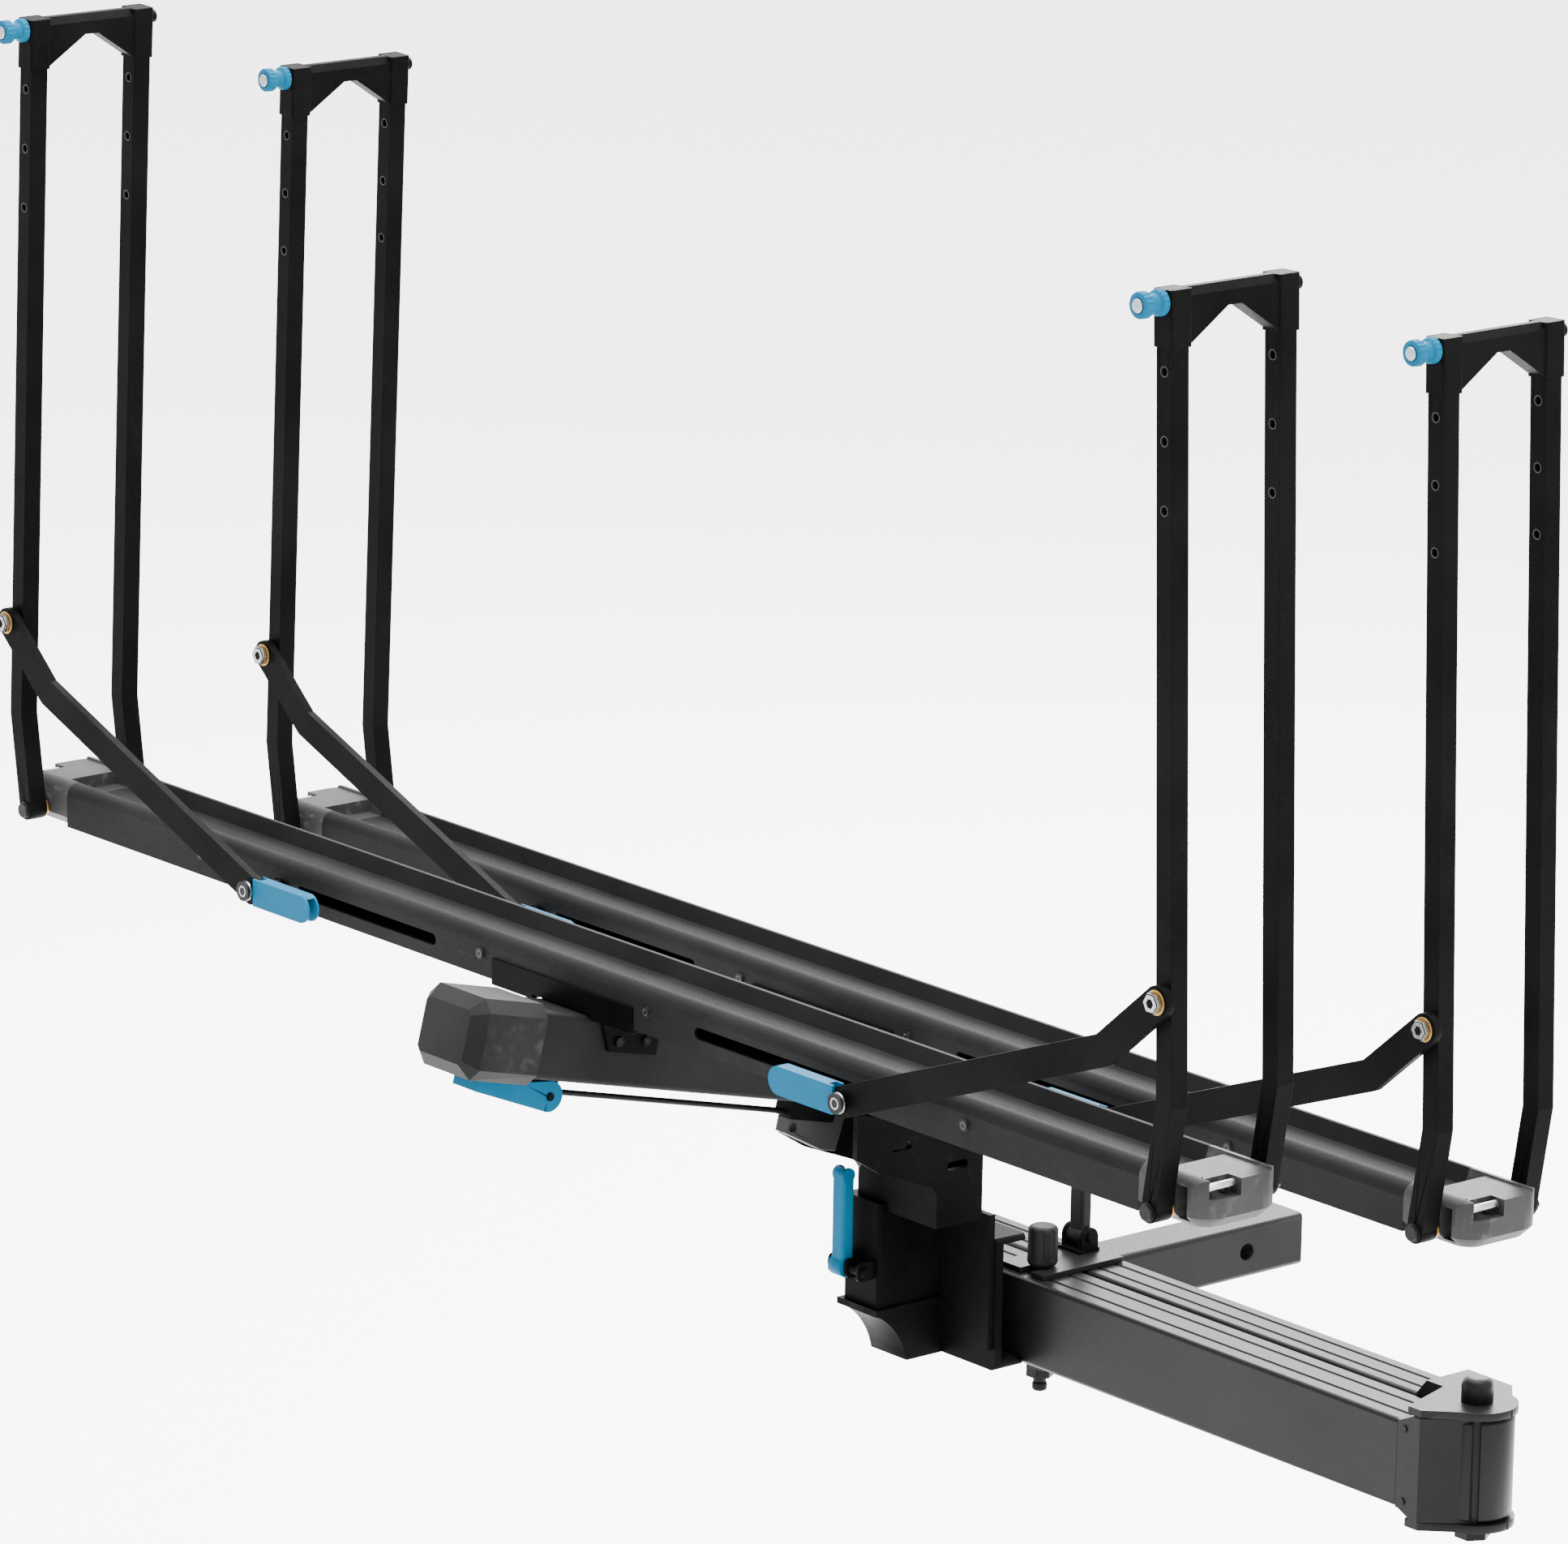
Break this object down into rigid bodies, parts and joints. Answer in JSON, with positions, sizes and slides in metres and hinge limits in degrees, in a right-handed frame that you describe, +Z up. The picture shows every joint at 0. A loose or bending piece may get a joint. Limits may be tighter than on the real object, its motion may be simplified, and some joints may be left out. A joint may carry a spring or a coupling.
{
  "type": "hitch mounted bike rack",
  "caption": "Swing-away platform bike rack for a hitch receiver, with folding wheel hoops, sliding braces and a tilting spine.",
  "frame": {"origin": "centre of the hitch pin hole", "axes": "+Y towards the car along the hitch shank, +X along the wheel trays towards the swing pivot, +Z up"},
  "size_m": [1.644, 0.9974, 1.198],
  "materials": {
    "black_powder_coat": "satin",
    "tray_aluminium": "satin anodised",
    "black_plastic": "matte",
    "blue_anodised": "anodised",
    "zinc_hardware": "zinc plated"
  },
  "bodies": {
    "hitch_arm": {"hitch_shank": "black_powder_coat", "fixed_arm": "black_powder_coat", "fixed_arm_plug": "black_plastic", "pivot_clevis": "black_powder_coat", "pivot_bolt": "black_plastic", "pivot_nut": "zinc_hardware", "latch_tongues": "black_powder_coat", "latch_base": "black_powder_coat"},
    "safety_latch": {"latch_lever": "black_plastic"},
    "swing_frame": {"swing_arm": "black_powder_coat", "swing_arm_plug": "black_plastic", "swing_knuckle": "black_powder_coat", "knuckle_screws": "zinc_hardware", "mast": "black_powder_coat", "tilt_bolt": "zinc_hardware"},
    "mast_cam": {"cam_lever": "blue_anodised"},
    "swing_clamp": {"clamp_knob": "black_plastic"},
    "platform": {"spine_tube": "black_powder_coat", "spine_cap": "black_plastic", "release_bracket": "black_powder_coat", "rod_guide": "black_powder_coat", "tilt_lug": "black_powder_coat", "strap_loops": "zinc_hardware", "tray_fasteners": "zinc_hardware", "outer_tray": "tray_aluminium", "outer_tray_ends": "black_plastic", "outer_saddle": "black_powder_coat", "inner_tray": "tray_aluminium", "inner_tray_ends": "black_plastic", "inner_saddle": "black_powder_coat"},
    "tilt_release": {"release_lever": "blue_anodised"},
    "tilt_pull_rod": {"pull_rod": "zinc_hardware"},
    "outer_left_hoop": {"outer_left_legs": "black_powder_coat", "outer_left_axle": "zinc_hardware"},
    "outer_left_top_bar": {"outer_left_crossbar": "black_powder_coat"},
    "outer_left_top_knob": {"outer_left_knob": "blue_anodised"},
    "outer_left_slider": {"outer_left_carriage": "black_powder_coat"},
    "outer_left_strut": {"outer_left_brace": "black_powder_coat"},
    "outer_left_release": {"outer_left_lever": "blue_anodised"},
    "outer_right_hoop": {"outer_right_legs": "black_powder_coat", "outer_right_axle": "zinc_hardware"},
    "outer_right_top_bar": {"outer_right_crossbar": "black_powder_coat"},
    "outer_right_top_knob": {"outer_right_knob": "blue_anodised"},
    "outer_right_slider": {"outer_right_carriage": "black_powder_coat"},
    "outer_right_strut": {"outer_right_brace": "black_powder_coat"},
    "outer_right_release": {"outer_right_lever": "blue_anodised"},
    "inner_left_hoop": {"inner_left_legs": "black_powder_coat", "inner_left_axle": "zinc_hardware"},
    "inner_left_top_bar": {"inner_left_crossbar": "black_powder_coat"},
    "inner_left_top_knob": {"inner_left_knob": "blue_anodised"},
    "inner_left_slider": {"inner_left_carriage": "black_powder_coat"},
    "inner_left_strut": {"inner_left_brace": "black_powder_coat"},
    "inner_left_release": {"inner_left_lever": "blue_anodised"},
    "inner_right_hoop": {"inner_right_legs": "black_powder_coat", "inner_right_axle": "zinc_hardware"},
    "inner_right_top_bar": {"inner_right_crossbar": "black_powder_coat"},
    "inner_right_top_knob": {"inner_right_knob": "blue_anodised"},
    "inner_right_slider": {"inner_right_carriage": "black_powder_coat"},
    "inner_right_strut": {"inner_right_brace": "black_powder_coat"},
    "inner_right_release": {"inner_right_lever": "blue_anodised"}
  },
  "joints": [
    {"name": "swing_away", "type": "hinge", "parent": "hitch_arm", "child": "swing_frame", "pos_m": [0.584, -0.246, 0], "axis": [0, 0, 1], "range_deg": [0, 165]},
    {"name": "safety_latch_flip", "type": "hinge", "parent": "hitch_arm", "child": "safety_latch", "pos_m": [0.031, -0.214, 0.0585], "axis": [-1, 0, 0], "range_deg": [0, 85]},
    {"name": "clamp_knob_turn", "type": "hinge", "parent": "swing_frame", "child": "swing_clamp", "pos_m": [0.049, -0.275, 0], "axis": [0, 0, 1], "range_deg": [0, 720]},
    {"name": "mast_cam_pull", "type": "hinge", "parent": "swing_frame", "child": "mast_cam", "pos_m": [-0.05, -0.429, 0.05], "axis": [1, 0, 0], "range_deg": [0, 80]},
    {"name": "platform_tilt", "type": "hinge", "parent": "swing_frame", "child": "platform", "pos_m": [0, -0.372, 0.232], "axis": [-1, 0, 0], "range_deg": [-25, 76.2]},
    {"name": "release_lever_pull", "type": "hinge", "parent": "platform", "child": "tilt_release", "pos_m": [0, -0.81828, 0.29322], "axis": [1, 0, 0], "range_deg": [0, 25], "stiffness_Nm_per_rad": 0.5, "springref_deg": -17.19},
    {"name": "pull_rod_slide", "type": "slide", "parent": "platform", "child": "tilt_pull_rod", "axis": [0, -0.9711, 0.2385], "range_m": [0, 0.003]},
    {"name": "outer_left_fold", "type": "hinge", "parent": "platform", "child": "outer_left_hoop", "pos_m": [-0.781, -0.749, 0.38], "axis": [0, 1, 0], "range_deg": [0, 84]},
    {"name": "outer_left_top_bar_slide", "type": "slide", "parent": "outer_left_hoop", "child": "outer_left_top_bar", "axis": [-0.0382, 0, -0.9993], "range_m": [0, 0.165]},
    {"name": "outer_left_knob_turn", "type": "hinge", "parent": "outer_left_top_bar", "child": "outer_left_top_knob", "pos_m": [-0.77088, -0.839, 1.11401], "axis": [0, -1, 0], "range_deg": [0, 720]},
    {"name": "outer_left_slider_slide", "type": "slide", "parent": "platform", "child": "outer_left_slider", "axis": [1, 0, 0], "range_m": [0, 0.2261]},
    {"name": "outer_left_strut_fold", "type": "hinge", "parent": "outer_left_slider", "child": "outer_left_strut", "pos_m": [-0.414, -0.822, 0.385], "axis": [0, -1, 0], "range_deg": [0, 20.65]},
    {"name": "outer_left_release_lift", "type": "hinge", "parent": "outer_left_slider", "child": "outer_left_release", "pos_m": [-0.414, -0.822, 0.385], "axis": [0, -1, 0], "range_deg": [0, 30]},
    {"name": "outer_right_fold", "type": "hinge", "parent": "platform", "child": "outer_right_hoop", "pos_m": [0.781, -0.749, 0.38], "axis": [0, -1, 0], "range_deg": [0, 84]},
    {"name": "outer_right_top_bar_slide", "type": "slide", "parent": "outer_right_hoop", "child": "outer_right_top_bar", "axis": [0.0382, 0, -0.9993], "range_m": [0, 0.165]},
    {"name": "outer_right_knob_turn", "type": "hinge", "parent": "outer_right_top_bar", "child": "outer_right_top_knob", "pos_m": [0.77088, -0.839, 1.11401], "axis": [0, -1, 0], "range_deg": [0, 720]},
    {"name": "outer_right_slider_slide", "type": "slide", "parent": "platform", "child": "outer_right_slider", "axis": [-1, 0, 0], "range_m": [0, 0.2261]},
    {"name": "outer_right_strut_fold", "type": "hinge", "parent": "outer_right_slider", "child": "outer_right_strut", "pos_m": [0.414, -0.822, 0.385], "axis": [0, 1, 0], "range_deg": [0, 20.65]},
    {"name": "outer_right_release_lift", "type": "hinge", "parent": "outer_right_slider", "child": "outer_right_release", "pos_m": [0.414, -0.822, 0.385], "axis": [0, 1, 0], "range_deg": [0, 30]},
    {"name": "inner_left_fold", "type": "hinge", "parent": "platform", "child": "inner_left_hoop", "pos_m": [-0.781, -0.455, 0.3075], "axis": [0, 1, 0], "range_deg": [0, 84]},
    {"name": "inner_left_top_bar_slide", "type": "slide", "parent": "inner_left_hoop", "child": "inner_left_top_bar", "axis": [-0.0382, 0, -0.9993], "range_m": [0, 0.165]},
    {"name": "inner_left_knob_turn", "type": "hinge", "parent": "inner_left_top_bar", "child": "inner_left_top_knob", "pos_m": [-0.77088, -0.545, 1.04151], "axis": [0, -1, 0], "range_deg": [0, 720]},
    {"name": "inner_left_slider_slide", "type": "slide", "parent": "platform", "child": "inner_left_slider", "axis": [1, 0, 0], "range_m": [0, 0.2261]},
    {"name": "inner_left_strut_fold", "type": "hinge", "parent": "inner_left_slider", "child": "inner_left_strut", "pos_m": [-0.414, -0.528, 0.3125], "axis": [0, -1, 0], "range_deg": [0, 20.65]},
    {"name": "inner_left_release_lift", "type": "hinge", "parent": "inner_left_slider", "child": "inner_left_release", "pos_m": [-0.414, -0.528, 0.3125], "axis": [0, -1, 0], "range_deg": [0, 30]},
    {"name": "inner_right_fold", "type": "hinge", "parent": "platform", "child": "inner_right_hoop", "pos_m": [0.781, -0.455, 0.3075], "axis": [0, -1, 0], "range_deg": [0, 84]},
    {"name": "inner_right_top_bar_slide", "type": "slide", "parent": "inner_right_hoop", "child": "inner_right_top_bar", "axis": [0.0382, 0, -0.9993], "range_m": [0, 0.165]},
    {"name": "inner_right_knob_turn", "type": "hinge", "parent": "inner_right_top_bar", "child": "inner_right_top_knob", "pos_m": [0.77088, -0.545, 1.04151], "axis": [0, -1, 0], "range_deg": [0, 720]},
    {"name": "inner_right_slider_slide", "type": "slide", "parent": "platform", "child": "inner_right_slider", "axis": [-1, 0, 0], "range_m": [0, 0.2261]},
    {"name": "inner_right_strut_fold", "type": "hinge", "parent": "inner_right_slider", "child": "inner_right_strut", "pos_m": [0.414, -0.528, 0.3125], "axis": [0, 1, 0], "range_deg": [0, 20.65]},
    {"name": "inner_right_release_lift", "type": "hinge", "parent": "inner_right_slider", "child": "inner_right_release", "pos_m": [0.414, -0.528, 0.3125], "axis": [0, 1, 0], "range_deg": [0, 30]}
  ],
  "couplings": [
    {"joint": "pull_rod_slide", "follows": "release_lever_pull", "m_per_rad": 0.0068},
    {"joint": "outer_left_slider_slide", "follows": "outer_left_fold", "m_per_rad": 0.15422},
    {"joint": "outer_left_strut_fold", "follows": "outer_left_fold", "ratio": 0.24582},
    {"joint": "outer_right_slider_slide", "follows": "outer_right_fold", "m_per_rad": 0.15422},
    {"joint": "outer_right_strut_fold", "follows": "outer_right_fold", "ratio": 0.24582},
    {"joint": "inner_left_slider_slide", "follows": "inner_left_fold", "m_per_rad": 0.15422},
    {"joint": "inner_left_strut_fold", "follows": "inner_left_fold", "ratio": 0.24582},
    {"joint": "inner_right_slider_slide", "follows": "inner_right_fold", "m_per_rad": 0.15422},
    {"joint": "inner_right_strut_fold", "follows": "inner_right_fold", "ratio": 0.24582}
  ]
}
